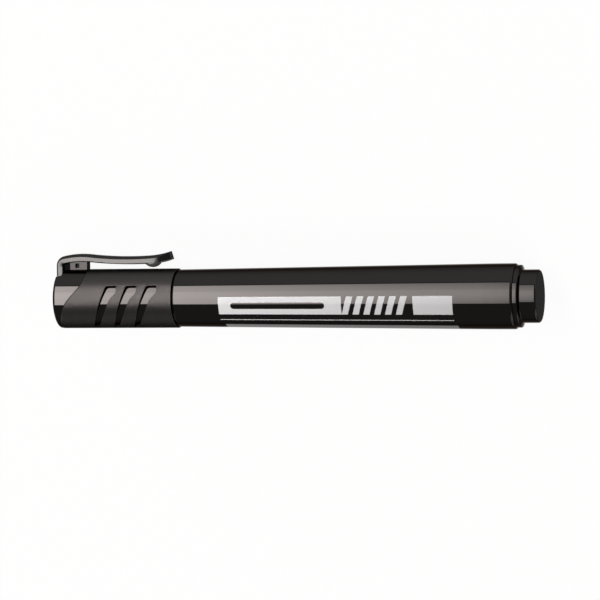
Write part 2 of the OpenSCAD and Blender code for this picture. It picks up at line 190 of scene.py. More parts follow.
def printedBlack():  # the barrel's gloss with a plain silver label screen-printed on it
    material, start, place = newMaterial("printedBlack")
    colour, rough, normal = glossFinish(place)
    height, across, along = place.parts()
    girth = height.math("ARCTAN2", 0 - across) * label["r"]
    edge = label["edge"]
    row = girth.between(label["foot"], label["top"], edge)
    first, second = (along.between(near, far, edge) * row for far, near in label["panels"])
    ink = first.math("MAXIMUM", second)
    far, near, middle, half = label["stroke"]
    past = (along - far).math("MAXIMUM", near - along).math("MAXIMUM", 0)
    aside = girth - middle
    reach = (past * past + aside * aside).math("SQRT")
    ink = ink * reach.rise(half - edge, half + edge)
    far, near, pitch, width, slant = label["bars"]
    step = ((along - near - slant * girth) / pitch).math("FRACT")
    bars = step.between(0.5 - width / pitch / 2, 0.5 + width / pitch / 2, edge / pitch)
    slanted = (along - slant * girth).between(near, far, edge)
    ink = ink.math("MAXIMUM", bars * slanted * row)
    # the rule is printed at full cover; the under band's part cover is painted shade
    for far, near, low, high, coverWithPaintedShade in (label["rule"], label["under"]):
        band = along.between(near, far, edge) * girth.between(low, high, edge)
        ink = ink.math("MAXIMUM", coverWithPaintedShade * band)
    grain = place.noise(9, 3, 0.6)
    worn = place.noise(4.5, 5, 0.7).rise(0.73, 0.8)
    ink = ink * (1 - 0.35 * worn)
    near, far = label["fade"]  # painted light falloff: the print is painted paler towards the cap, where the light is brighter
    share = 0.9 * (along - near) / (far - near) + 0.2 * grain - 0.05
    silver = share.mix(label["silver"], label["paintedLitSilver"])
    closeMaterial(start, {"Base Color": ink.mix(colour, silver),
                          "Metallic": gloss["mirror"] * (1 - ink),
                          "Roughness": rough * (1 - ink) + ink * (label["rough"] + 0.1 * grain),
                          "IOR": gloss["ior"], "Specular Tint": gloss["rim"], "Normal": normal})
    return material


soft = {"dark": (0.046, 0.0428, 0.042, 1), "worn": (0.056, 0.0522, 0.0512, 1), "rough": 0.33,
        "mirror": 1.0, "rim": (0.25, 0.24, 0.235, 1)}


def softSleeve():
    material, start, place = newMaterial("softSleeve")
    grain = place.noise(14, 3, 0.65)
    patch = place.noise(0.35, 3)
    rub = place.stretched(1, 1, 0.3).noise(1.6, 4, 0.6).rise(0.55, 0.75)
    closeMaterial(start, {"Base Color": (0.4 * patch + 0.25 * rub).mix(soft["dark"], soft["worn"]),
                          "Metallic": soft["mirror"],
                          "Roughness": soft["rough"] + 0.08 * grain - 0.06 * rub,
                          "Specular Tint": soft["rim"],
                          "Normal": grain.bumped(0.22, 0.00004)})
    return material


milk = {"clear": (0.7, 0.715, 0.69, 1), "stain": (0.28, 0.28, 0.3, 1), "rough": 0.38}


def milkyLiner():
    material, start, place = newMaterial("milkyLiner")
    cloud = place.noise(0.9, 3)
    stain = place.noise(1.7, 4, 0.65).rise(0.58, 0.74)
    closeMaterial(start, {"Base Color": (0.55 * stain).mix(milk["clear"], milk["stain"]),
                          "Roughness": milk["rough"] + 0.12 * cloud, "IOR": 1.5,
                          "Normal": cloud.bumped(0.08, 0.0001)})
    return material


fibre = {"ink": (0.006, 0.0055, 0.008, 1), "dry": (0.035, 0.032, 0.04, 1), "rough": 0.78}


def inkyFibre(name, strands):
    material, start, place = newMaterial(name)
    strand = place.stretched(strands, strands, 0.22).noise(2.4, 4, 0.7)
    blot = place.noise(0.8, 3)
    closeMaterial(start, {"Base Color": (0.7 * strand + 0.3 * blot).mix(fibre["ink"], fibre["dry"]),
                          "Roughness": fibre["rough"] + 0.15 * strand - 0.25 * blot, "IOR": 1.45,
                          "Normal": strand.bumped(0.5, 0.00008)})
    return material


film = {"tint": (0.55, 0.57, 0.6, 1), "inky": (0.05, 0.047, 0.06, 1), "alpha": 0.45, "rough": 0.12}


def clearFilm():
    material, start, place = newMaterial("clearFilm")
    wrap = place.stretched(1, 1, 0.2).noise(0.7, 4)
    closeMaterial(start, {"Base Color": wrap.rise(0.35, 0.7).mix(film["tint"], film["inky"]),
                          "Roughness": film["rough"] + 0.2 * wrap,
                          "Alpha": film["alpha"] + 0.2 * wrap, "IOR": 1.48,
                          "Normal": wrap.bumped(0.2, 0.0002)})
    return material


finishes = {"gloss": glossBlack("glossBlack"), "satin": glossBlack("satinBlack", gloss["satin"]),
            "face": mattBlack("mattFace"), "pocket": mattBlack("mattPocket"), "printed": printedBlack(),
            "soft": softSleeve(), "milk": milkyLiner(), "nib": inkyFibre("nibFibre", 4.5),
            "wick": inkyFibre("reservoirFibre", 2.5), "film": clearFilm()}
print("finishes:", sorted(finishes))

weld = {"near": 1e-4, "sliver": 1e-5}
facets = {"shown": 240, "nose": 180, "liner": 120, "inside": 96, "corner": 4, "block": 3}


def tidy(bm):
    bmesh.ops.remove_doubles(bm, verts=bm.verts, dist=weld["near"])
    bmesh.ops.dissolve_degenerate(bm, edges=bm.edges, dist=weld["sliver"])
    bmesh.ops.recalc_face_normals(bm, faces=bm.faces)
    return bm


def rounded(bm, geom, size, segments, affect="EDGES"):
    bmesh.ops.bevel(bm, geom=geom, offset=size, segments=segments, profile=0.5, affect=affect,
                    material=-1)


def only(geom, kind):  # the vertices or the edges of a mixed list
    return [g for g in geom if isinstance(g, kind)]


def sharpEdges(bm, least):  # edges that bend by more than some degrees
    return [e for e in bm.edges if len(e.link_faces) == 2 and e.calc_face_angle() > radians(least)]


def fromAxis(spot):
    return sqrt(spot.x ** 2 + spot.y ** 2)


def wireLoop(points):  # a closed chain of edges through (x, z) points in the plane of the axis
    bm = bmesh.new()
    spots = [bm.verts.new((x, 0, z)) for x, z in points]
    for first, second in zip(spots, spots[1:] + spots[:1]):
        bm.edges.new((first, second))
    return bm, spots


def turned(profile, steps):  # closed (radius, height, edge rounding) profile spun about the axis
    bm, spots = wireLoop([(r, z) for r, z, rounding in profile])
    for size in sorted({p[2] for p in profile if p[2]}):
        corners = [spot for spot, p in zip(spots, profile) if p[2] == size]
        rounded(bm, corners, size, facets["corner"], "VERTICES")
    axisEdges = [e for e in bm.edges if all(abs(v.co.x) < 1e-6 for v in e.verts)]
    bmesh.ops.delete(bm, geom=axisEdges, context="EDGES")
    bmesh.ops.spin(bm, geom=bm.verts[:] + bm.edges[:], cent=(0, 0, 0), axis=(0, 0, 1), dvec=(0, 0, 0),
                   angle=2 * pi, steps=steps, use_merge=True, use_duplicate=False)
    return tidy(bm)


def edgeWay(edge):  # the axis that an edge runs along
    run = edge.verts[0].co - edge.verts[1].co
    return "xyz"[max(range(3), key=lambda i: abs(run[i]))]


def block(low, high, rounding=0.0, ways="xyz"):  # a box with its edges along some ways rounded
    bm = bmesh.new()
    bmesh.ops.create_cube(bm, size=1)
    low, high = Vector(low), Vector(high)
    bmesh.ops.scale(bm, vec=high - low, verts=bm.verts)
    bmesh.ops.translate(bm, vec=(low + high) / 2, verts=bm.verts)
    if rounding:
        rounded(bm, [e for e in bm.edges if edgeWay(e) in ways], rounding, facets["block"])
    return bm


def combined(bm, other, how):  # UNION or DIFFERENCE of two closed shapes
    pair = []
    for shape in (bm, other):
        mesh = bpy.data.meshes.new("shape")
        shape.to_mesh(mesh)
        shape.free()
        pair.append(bpy.data.objects.new("shape", mesh))
        bpy.context.scene.collection.objects.link(pair[-1])
    join = pair[0].modifiers.new("join", "BOOLEAN")
    join.operation, join.solver, join.object = how, "EXACT", pair[1]
    bpy.context.view_layer.update()
    made = bmesh.new()
    made.from_object(pair[0], bpy.context.evaluated_depsgraph_get())
    for shape in pair:
        mesh = shape.data
        bpy.data.objects.remove(shape)
        bpy.data.meshes.remove(mesh)
    bmesh.ops.remove_doubles(made, verts=made.verts, dist=weld["near"])
    return made


def allRound(bm, count, shift, low, high, how):  # joins or cuts the same block round the axis
    for i in range(count):
        one = block(low, high)
        turn = Matrix.Rotation(2 * pi * (i + shift) / count, 3, "Z")
        bmesh.ops.rotate(one, cent=(0, 0, 0), matrix=turn, verts=one.verts)
        bm = combined(bm, one, how)
    return bm


shading = {"sharp": 40, "crisp": 30, "weight": 80}


def placed(bm, name, node, body, finish, sharp=shading["sharp"]):  # lays a shape down as a piece
    mesh = bpy.data.meshes.new(name)
    bm.to_mesh(mesh)
    bm.free()
    mesh.transform(layDown)
    mesh.shade_smooth()
    mesh.set_sharp_from_angle(angle=radians(sharp))
    mesh.materials.append(finishes[finish])
    piece = bpy.data.objects.new(name, mesh)
    bpy.context.scene.collection.objects.link(piece)
    normals = piece.modifiers.new("normals", "WEIGHTED_NORMAL")
    normals.keep_sharp, normals.weight = True, shading["weight"]
    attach(piece, body)
    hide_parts(node)
    print("piece:", name, len(mesh.polygons), "faces")
    return piece


barrelSizes = {"tail": 6.3, "taper": 12.8, "shoulder": 102.2, "neckEnd": 111.8, "rearR": 9.02,
               "frontR": 8.04, "neckR": 6.15, "neckBoreR": 5.15, "bead": (107.0, 0.1, 0.63), "wall": 1.2,
               "boreEnd": 99.2, "skirtEnd": 14.8, "lip": 0.6, "blend": 2.0, "ribs": 6,
               "rib": (5.84, 7.95, 1.0, 15.3), "sink": 0.2}


def makeBarrel():
    b = barrelSizes
    beadAt, beadHigh, beadHalf = b["bead"]
    profile = [(b["rearR"] - b["wall"], b["tail"], 0.1), (b["rearR"], b["tail"], b["lip"]),
               (b["rearR"], b["taper"], b["blend"]), (b["frontR"], b["shoulder"], 0.16),
               (b["neckR"], b["shoulder"], 0.12), (b["neckR"], beadAt - beadHalf, 0.2),
               (b["neckR"] + beadHigh, beadAt, 0.3), (b["neckR"], beadAt + beadHalf, 0.2),
               (b["neckR"], b["neckEnd"], 0.3), (b["neckBoreR"], b["neckEnd"], 0.1),
               (b["neckBoreR"], b["boreEnd"], 0), (b["frontR"] - b["wall"], b["boreEnd"], 0),
               (b["rearR"] - b["wall"], b["skirtEnd"], 0)]
    bm = turned(profile, facets["shown"])
    innerR, rootR, wide, start = b["rib"]
    low, high = (innerR, -wide / 2, start), (rootR, wide / 2, b["boreEnd"] + b["sink"])
    bm = allRound(bm, b["ribs"], 0.5, low, high, "UNION")
    return placed(bm, "barrelTube", "barrel", "barrel", "printed")


plugSizes = {"stubR": 7.3, "stubRound": 0.5, "stubEnd": 4.6, "ringR": 8.58, "bevel": 0.45,
             "land": (0.24, 0.22), "ringEnd": 6.3, "skirtR": 7.8, "skirtEnd": 14.8, "skirtWall": 0.9,
             "hollowR": 5.7, "floor": 1.6, "end": (0.97, 0.2)}


def makeTailPlug():
    p = plugSizes
    ringStart, skirtInR = p["stubEnd"] + p["bevel"], p["skirtR"] - p["skirtWall"]
    landIn, landOut = p["land"]
    profile = [(0, 0, 0), (p["stubR"], 0, p["stubRound"]), (p["stubR"], p["stubEnd"], 0.1),
               (p["ringR"], ringStart, 0.14), (p["ringR"], ringStart + landIn, 0),
               (p["ringR"], p["ringEnd"] - landOut, 0), (p["ringR"], p["ringEnd"], 0.12),
               (p["skirtR"], p["ringEnd"], 0), (p["skirtR"], p["skirtEnd"], 0.3),
               (skirtInR, p["skirtEnd"], 0.1), (skirtInR, p["ringEnd"], 0),
               (p["hollowR"], p["ringEnd"], 0.1), (p["hollowR"], p["floor"], 0.3), (0, p["floor"], 0)]
    bm = turned(profile, facets["shown"])
    piece = placed(bm, "tailPlug", "tail_plug", "barrel", "gloss")
    piece.data.materials.append(finishes["face"])
    facing, deep = p["end"]
    for face in piece.data.polygons:  # the stub's end face is spark-eroded
        if face.normal.x < -facing and face.center.x < tailAt.x + deep * setOut["mm"]:
            face.material_index = 1
    return piece


noseSizes = {"plugStart": 99.6, "plugR": 5.13, "neckEnd": 111.8, "collarR": 6.05, "collarEnd": 112.8,
             "coneEnd": 116.6, "nozzleR": 3.4, "nozzleEnd": 124.0, "boreR": 2.22, "hollowR": 4.13,
             "hollowEnd": 109.8, "grooves": 3, "groove": (0.6, 0.35, 108.8, 125.0)}


def makeNose():
    n = noseSizes
    profile = [(n["hollowR"], n["plugStart"], 0.1), (n["plugR"], n["plugStart"], 0.4),
               (n["plugR"], n["neckEnd"], 0), (n["collarR"], n["neckEnd"], 0.1),
               (n["collarR"], n["collarEnd"], 0.25), (n["nozzleR"], n["coneEnd"], 0.5),
               (n["nozzleR"], n["nozzleEnd"], 0.4), (n["boreR"], n["nozzleEnd"], 0.12),
               (n["boreR"], n["hollowEnd"], 0.1), (n["hollowR"], n["hollowEnd"], 0.3)]
    bm = turned(profile, facets["nose"])
    wide, deep, start, end = n["groove"]
    low, high = (0, -wide / 2, start), (n["boreR"] + deep, wide / 2, end)
    bm = allRound(bm, n["grooves"], 0, low, high, "DIFFERENCE")
    return placed(bm, "nibHolder", "nib_holder", "barrel", "gloss")


nibSizes = {"start": 88.9, "r": 2.2, "lead": (1.4, 1.6), "coneFoot": 126.18, "coneTop": (0.86, 129.05),
            "end": 129.6, "tip": ((0.72, 0.33, 0.1), (0.47, 0.12, 0.1), (0.2, 0.02, 0.08))}


def makeNib():
    n = nibSizes
    leadR, leadLong = n["lead"]
    tip = [(r, n["end"] - back, rounding) for r, back, rounding in n["tip"]]
    profile = [(0, n["start"], 0), (leadR, n["start"], 0.2), (n["r"], n["start"] + leadLong, 0.3),
               (n["r"], n["coneFoot"], 0.5), (*n["coneTop"], 0.1), *tip, (0, n["end"], 0)]
    bm = turned(profile, facets["inside"])
    return placed(bm, "bulletNib", "nib", "barrel", "nib")


wickSizes = {"start": 8.3, "end": 98.9, "r": 5.65, "boreR": 2.22, "boreStart": 88.88,
             "boreLead": (1.42, 1.6), "film": (5.67, 5.82, 8.8, 98.4)}


def makeWick():
    w = wickSizes
    leadR, leadLong = w["boreLead"]
    profile = [(0, w["start"], 0), (w["r"], w["start"], 0.3), (w["r"], w["end"], 0.3),
               (w["boreR"], w["end"], 0.15), (w["boreR"], w["boreStart"] + leadLong, 0),
               (leadR, w["boreStart"], 0), (0, w["boreStart"], 0)]
    bm = turned(profile, facets["inside"])
    placed(bm, "inkWick", "ink_reservoir", "barrel", "wick")
    inner, outer, low, high = w["film"]
    profile = [(inner, low, 0), (outer, low, 0.03), (outer, high, 0.03), (inner, high, 0)]
    bm = turned(profile, facets["inside"])
    placed(bm, "wickFilm", "reservoir_film", "barrel", "film")


makeBarrel()
makeTailPlug()
makeNose()
makeNib()
makeWick()
print("barrel side done")

# edgeMarks are heights in sleeve radii and mm back from the end
capSizes = {"mouth": 102.4, "end": 137.4, "round": 0.5, "roundSteps": 12, "sleeveR": 8.33,
            "sleeveInR": 7.45, "sleeveStart": 102.7, "glossR": 8.29, "coreR": 7.43, "boreR": 6.31,
            "floor": 133.0, "hold": (0.3, 2.2), "gap": 0.06, "edgeSteps": 6,
            "edgeMarks": ((1.5, 8.7), (1, 8.6), (0.46, 7.9), (-0.22, 3.3), (-0.83, 1.3), (-1.1, 0.9),
                          (-1.5, 0.9))}


def smoothPoint(a, b, c, d, t):  # a point on the smooth line from b to c
    bend, twist = 2 * a - 5 * b + 4 * c - d, 3 * b - a - 3 * c + d
    return 0.5 * (2 * b + (c - a) * t + bend * t * t + twist * t ** 3)


def sleeveEdge():  # the S-shaped edge between sleeve and gloss end, as (height, along) points
    c = capSizes
    marks = [Vector((share * c["sleeveR"], c["end"] - back)) for share, back in c["edgeMarks"]]
    line = [smoothPoint(*marks[i - 1:i + 3], step / c["edgeSteps"])
            for i in range(1, len(marks) - 2) for step in range(c["edgeSteps"])]
    return line + [marks[-2]]


edgeLine = sleeveEdge()


def edgeAt(height):  # where the S-shaped edge stands along the axis, at a height above it
    for first, second in zip(edgeLine, edgeLine[1:]):
        if second.x <= height <= first.x:
            return first.y + (second.y - first.y) * (first.x - height) / max(first.x - second.x, 1e-9)
    return edgeLine[0].y if height > edgeLine[0].x else edgeLine[-1].y


def endRadius(r, along):  # radius near the closed end, where the edge is rounded
    past = along - (capSizes["end"] - capSizes["round"])
    return r if past <= 0 else r - capSizes["round"] + sqrt(max(capSizes["round"] ** 2 - past ** 2, 0))


plinthSizes = {"end": 129.25, "ledge": 135.75, "half": 1.3, "flare": (0.02, 0.12), "top": 11.05,
               "foot": 6.9, "edge": 0.22, "edgeSteps": 4, "rootHalf": 2.15, "rootStart": 134.4,
               "rootTop": 9.628, "rootLead": ((-0.4, -0.2), (0.1, 0.04)), "web": 0.4,
               "hole": (132.3, 9.295, 0.6, 0.65), "holeRound": 0.1, "holeReach": 4, "ledgeHeight": 6.25,
               "slot": (133.45, 4.8, 5.6, 1.45), "clear": (14, 9, 4)}


def standing(plan, low, high):  # a block between two heights, the same on both sides of the middle
    bm = bmesh.new()
    outline = list(plan) + [(along, -across) for along, across in reversed(plan)]
    base = bm.faces.new([bm.verts.new((low, across, along)) for along, across in outline])
    raised = bmesh.ops.extrude_face_region(bm, geom=[base])
    bmesh.ops.translate(bm, vec=(high - low, 0, 0), verts=only(raised["geom"], bmesh.types.BMVert))
    return tidy(bm)


def makeCapShell():
    c, p = capSizes, plinthSizes
    nominal = 120.0  # height that stands for the S-shaped edge until it is bent
    near = 0.01
    roundStart, endR = c["end"] - c["round"], c["glossR"] - c["round"]
    holdSide, holdEnd = c["hold"]
    turns = [pi / 2 * i / c["roundSteps"] for i in range(c["roundSteps"] + 1)]
    arc = [(endR + c["round"] * cos(t), roundStart + c["round"] * sin(t), 0) for t in turns]
    profile = [(0, c["floor"], 0), (c["boreR"], c["floor"], 0.2), (c["boreR"], c["mouth"], 0.25),
               (c["coreR"], c["mouth"], 0.15), (c["coreR"], nominal, 0), (c["glossR"], nominal, 0),
               (c["glossR"], roundStart - holdSide, 0), *arc, (endR - holdEnd, c["end"], 0),
               (0, c["end"], 0)]
    bm = turned(profile, facets["shown"])
    for v in bm.verts:
        r = fromAxis(v.co)
        if r < c["coreR"] - near and v.co.z < roundStart:
            continue
        edge = edgeAt(v.co.x)
        outside = r > endR - near and nominal < v.co.z < edge
        if outside or abs(v.co.z - nominal) < weld["near"]:
            v.co.z = edge
        if r > c["coreR"] + near and v.co.z >= edge - 1e-6:
            wanted = endRadius(c["glossR"], v.co.z)
            v.co.x, v.co.y = v.co.x * wanted / r, v.co.y * wanted / r
    bm = tidy(bm)
    start, ledge, half, e = p["rootStart"], p["ledge"], p["half"], p["edge"]
    turns = [pi / 2 / p["edgeSteps"] * i for i in range(p["edgeSteps"] + 1)]
    corner = [(p["end"] + e - e * cos(t), half - e + e * sin(t)) for t in turns]
    sides = [(start, half), (start, half + p["flare"][0]), (ledge, half + p["flare"][1])]
    bm = combined(bm, standing(corner + sides, p["foot"], p["top"]), "UNION")
    root = [(start + along, half + across) for along, across in p["rootLead"]] + [(ledge, p["rootHalf"])]
    bm = combined(bm, standing(root, p["foot"], p["rootTop"]), "UNION")
    at, high, halfLong, halfHigh = p["hole"]
    for side in (-1, 1):
        left, right = sorted((side * p["web"], side * p["holeReach"]))
        pocket = block((high - halfHigh, left, at - halfLong), (high + halfHigh, right, at + halfLong),
                       p["holeRound"], "y")
        bm = combined(bm, pocket, "DIFFERENCE")
    above, aside, past = p["clear"]
    room = block((p["ledgeHeight"], -aside, ledge), (above, aside, c["end"] + past))
    bm = combined(bm, room, "DIFFERENCE")
    slotStart, slotLow, slotTop, slotHalf = p["slot"]
    slot = block((slotLow, -slotHalf, slotStart), (slotTop, slotHalf, c["end"] + past))
    bm = combined(bm, slot, "DIFFERENCE")
    for face in bm.faces:  # rough pockets, satin plinth sides, dull root
        middle = face.calc_center_median()
        deep = p["web"] - near < abs(middle.y) < half - 2 * near
        inHole = abs(middle.x - high) < halfHigh + near and abs(middle.z - at) < halfLong + near
        face.material_index = int(deep and inHole)
        raised = middle.x > c["glossR"] and p["end"] < middle.z < ledge and not deep
        if raised and abs(face.normal.y) > 0.7:
            face.material_index = 2 if middle.z < start else 3
    piece = placed(bm, "capShell", "cap_shell", "cap", "gloss", shading["crisp"])
    for finish in ("pocket", "satin", "face"):
        piece.data.materials.append(finishes[finish])
    return piece


# top, end, corner's second and bulge's last two are degrees round the cap
windows = {"count": 3, "pitch": 5.9, "start": 6.1, "top": 25, "end": -76, "wide": 2.9, "foot": 1.3,
           "lean": 6.9, "edge": 0.1, "corner": (0.5, 3.44), "bulge": (0.92, 11, 9),
           "cells": (40, 4, 58, 10), "seams": (1.2, 0.8, 0.4, 0), "rim": (50, 0.15)}


def windowLine(i, side, turn):  # one long edge of a window, along the axis, at an angle round the cap
    w = windows
    share = (w["top"] - min(turn, w["top"])) / (w["top"] + 90)
    half = (w["wide"] + (w["foot"] - w["wide"]) * share) / 2
    cornerR, reach = w["corner"]
    left = min(max(w["top"] - turn, 0) / reach, 1)
    half -= cornerR * (1 - sqrt(1 - (1 - left) ** 2))
    size, at, spread = w["bulge"]  # the edge towards the mouth swells just below the top
    if side < 0:
        half += size * exp(-((turn - at) / spread) ** 2)
    return capSizes["mouth"] + w["start"] + i * w["pitch"] + w["lean"] * share + side * half


def makeSleeve():
    c, w = capSizes, windows
    marks = (90, w["top"], w["top"] - w["corner"][1], w["end"], -90)
    turns = [first + (second - first) * i / cells
             for first, second, cells in zip(marks, marks[1:], w["cells"]) for i in range(cells)]
    turns.append(marks[-1])
    lines = [lambda turn: c["sleeveStart"]]
    for i in range(w["count"]):
        lines += [lambda turn, i=i, side=side: windowLine(i, side, turn) for side in (-1, 1)]
    lines += [lambda turn, k=k: edgeAt(c["sleeveR"] * sin(radians(turn))) - c["gap"] - k
              for k in w["seams"]]
    columns, rows = len(turns) - 1, len(lines) - 1
    bm = bmesh.new()
    bmesh.ops.create_grid(bm, x_segments=columns, y_segments=rows, size=0.5)
    openFaces = []
    for face in bm.faces:
        middle = face.calc_center_median()
        column, row = int((middle.x + 0.5) * columns), int((middle.y + 0.5) * rows)
        if w["end"] + 1e-6 < turns[column] <= w["top"] + 1e-6 and row in range(1, 2 * w["count"], 2):
            openFaces.append(face)
    for v in bm.verts:
        turn = turns[round((v.co.x + 0.5) * columns)]
        along = lines[round((v.co.y + 0.5) * rows)](turn)
        r = endRadius(c["sleeveR"], along)
        v.co = (r * sin(radians(turn)), -r * cos(radians(turn)), along)
    bmesh.ops.delete(bm, geom=openFaces, context="FACES")
    bmesh.ops.mirror(bm, geom=bm.verts[:] + bm.edges[:] + bm.faces[:], matrix=Matrix.Identity(4),
                     merge_dist=weld["near"], axis="Y")
    bm = tidy(bm)
    if sum(f.normal.xy.dot(f.calc_center_median().xy) for f in bm.faces) < 0:
        bmesh.ops.reverse_faces(bm, faces=bm.faces)
    bmesh.ops.solidify(bm, geom=bm.faces[:], thickness=c["sleeveR"] - c["sleeveInR"])
    bmesh.ops.recalc_face_normals(bm, faces=bm.faces)
    least, skin = w["rim"]
    rims = [e for e in sharpEdges(bm, least)
            if all(fromAxis(v.co) > c["sleeveR"] - skin for v in e.verts)]
    rounded(bm, rims, w["edge"], 2)
    for face in bm.faces:  # the windows' lower end walls are left dull from the tool
        middle = face.calc_center_median()
        turn = degrees(atan2(middle.x, abs(middle.y)))
        outward = face.normal.dot(Vector((middle.x, middle.y, 0)).normalized())
        wall = abs(outward) < 0.5 and abs(face.normal.z) < 0.5
        face.material_index = int(wall and abs(turn - w["end"]) < 0.6)
    piece = placed(bm, "softSleeve", "cap_sleeve", "cap", "soft")
    piece.data.materials.append(finishes["face"])
    return piece


linerSizes = {"start": 116.9, "flange": 1.2, "flangeR": 6.29, "r": 4.85, "lipR": 3.45, "innerR": 4.05,
              "lip": 2.4, "lead": 1, "end": 132.98, "floor": 132.18}


def makeLiner():
    n = linerSizes
    profile = [(n["lipR"], n["start"], 0.3), (n["flangeR"], n["start"], 0.2),
               (n["flangeR"], n["start"] + n["flange"], 0.15), (n["r"], n["start"] + n["flange"], 0.2),
               (n["r"], n["end"], 0.4), (0, n["end"], 0), (0, n["floor"], 0),
               (n["innerR"], n["floor"], 0.4),
               (n["innerR"], n["start"] + n["lip"] + n["lead"], 0.2),
               (n["lipR"], n["start"] + n["lip"], 0.2)]
    bm = turned(profile, facets["liner"])
    return placed(bm, "sealCup", "inner_cap", "cap", "milk")


makeCapShell()
makeSleeve()
makeLiner()
print("cap side done")

# bendR and slopes follow the arm from its leg: corner, hump, dip and tip
# dimple is back from the nose's end, gap to the sleeve, radius and height of its cut
clip = {"half": 2.3, "sheet": 0.5, "flank": 1.3, "crown": 1.0, "crownR": 3.145, "crownSteps": 6,
        "legFoot": 6.4, "legFace": 138.7, "legSteps": 5, "legExtra": 0.25, "humpTop": 12.7,
        "bendR": (2.7, 25, 100, 26), "slopes": (90, 13, -6.5, 3.2, 17.5),
        "bendSteps": (12, 16, 14, 10, 16), "nose": 5.0, "narrow": 0.985, "noseFrom": (9, 115),
        "noseEnd": (0.6, 0.45), "dimple": (5.4, 0.4, 3.0, 10.3), "dimpleIn": 0.1,
        "foot": (2.6, 5.2, 133.6), "footRound": 0.06, "strap": (0.4, 0.8, 0.05), "rim": (60, 0.02),
        "edge": 0.34}


def nextBend(middle, reach, slope):  # two bends meet on the line through their middles
    return middle[0] + reach * sin(radians(slope)), middle[1] + reach * cos(radians(slope))


def clipBends():  # (along, height) middles of the corner, the hump, the dip and the tip
    k = clip
    cornerR, humpR, dipR, tipR = k["bendR"]
    back, front, rise = k["slopes"][1:4]
    cornerHeight = k["humpTop"] - humpR + (humpR - cornerR) * cos(radians(back))
    corner = (k["legFace"] - cornerR, cornerHeight)
    hump = nextBend(corner, cornerR - humpR, back)
    dip = nextBend(hump, humpR + dipR, front)
    return corner, hump, dip, nextBend(dip, tipR - dipR, rise)


def dimpleBall():  # middle along, middle height and radius of the ball that the dimple is cut from
    k = clip
    fromEnd, gap, r = k["dimple"][:3]
    end = nextBend(clipBends()[3], -k["bendR"][3], k["slopes"][4])
    return end[0] + fromEnd, capSizes["sleeveR"] + gap + r, r


# the lighter, rougher dimple colour and its reach are a painted highlight
steel = {"clean": (0.034, 0.033, 0.0325, 1), "dull": (0.026, 0.0252, 0.0248, 1), "rough": 0.1,
         "edge": (0.5, 0.485, 0.48, 1), "paintedDimpleHighlight": (0.24, 0.235, 0.23, 1), "paintedHighlightReach": (0.02, 0.15),
         "fade": 0.1}


def clipSteel():
    material, start, place = newMaterial("clipSteel")
    brush = place.stretched(7, 7, 0.35).noise(3.2, 3, 0.6)
    cloud = place.noise(0.45, 4, 0.6)
    pits = place.noise(5.5, 3, 0.6).rise(0.68, 0.78)
    height, across, along = place.parts()
    at, middle, r = dimpleBall()  # the dimple is painted paler as rubbed bare metal, a painted highlight for the light it catches
    out, under = steel["paintedHighlightReach"]
    reach, top, fade = r + out, clip["dimple"][3] - under, steel["fade"]
    above, past = height - middle, along - at
    away = (above * above + across * across + past * past).math("SQRT")
    paintedDimpleHighlight = (1 - away.rise(reach, reach + fade)) * (1 - height.rise(top, top + fade))
    paintedDimpleHighlight = paintedDimpleHighlight * (0.75 + 0.25 * cloud)
    plating = (0.6 * cloud + 0.5 * pits).mix(steel["clean"], steel["dull"])
    closeMaterial(start, {"Base Color": paintedDimpleHighlight.mix(plating, steel["paintedDimpleHighlight"]), "Metallic": 1 - 0.8 * paintedDimpleHighlight,
                          "Roughness": steel["rough"] + 0.06 * brush + 0.06 * pits + 0.35 * paintedDimpleHighlight,
                          "Specular Tint": steel["edge"],
                          "Normal": (brush + 0.6 * pits).bumped(0.03, 0.00003)})
    return material


def clipSheet():  # the bent sheet without thickness, from the leg's foot to the nose
    k = clip
    corner, hump, dip, tip = clipBends()
    depth, n = k["flank"] + k["crown"], k["crownSteps"]
    aside = [k["half"] * i / n for i in range(-n, n + 1)]
    crown = [(y, k["crownR"] - sqrt(k["crownR"] ** 2 - y ** 2)) for y in aside]
    section = [(-k["half"], depth), *crown, (k["half"], depth)]
    bm = bmesh.new()
    spots = [bm.verts.new((k["legFoot"], across, k["legFace"] - deep)) for across, deep in section]
    grown = [bm.edges.new(pair) for pair in zip(spots, spots[1:])]
    for i in range(k["legSteps"]):
        grown = bmesh.ops.extrude_edge_only(bm, edges=only(grown, bmesh.types.BMEdge))["geom"]
        bmesh.ops.translate(bm, vec=((corner[1] - k["legFoot"]) / k["legSteps"], 0, 0),
                            verts=only(grown, bmesh.types.BMVert))
    noseTurn = k["nose"] / k["bendR"][3] * 180 / pi
    slopes = [*k["slopes"][:4], k["slopes"][4] - noseTurn, k["slopes"][4]]
    middles = (corner, hump, dip, tip, tip)
    for middle, first, second, steps in zip(middles, slopes, slopes[1:], k["bendSteps"]):
        grown = [g for g in grown if not isinstance(g, bmesh.types.BMFace)]
        grown = bmesh.ops.spin(bm, geom=grown, cent=(middle[1], 0, middle[0]), axis=(0, 1, 0),
                               dvec=(0, 0, 0), angle=radians(first - second), steps=steps,
                               use_merge=False, use_duplicate=False)["geom_last"]
    tidy(bm)
    inner = k["bendR"][0] - depth  # radius of the free edge at the corner
    for v in bm.verts:  # the leg's flanks are a little deeper than the arm's
        bent = min(max((v.co.x - corner[1]) / inner, 0), 1)
        if corner[0] < v.co.z < corner[0] + inner + 0.01 and v.co.x < corner[1] + inner:
            v.co.z -= k["legExtra"] * (1 - bent)
    return bm


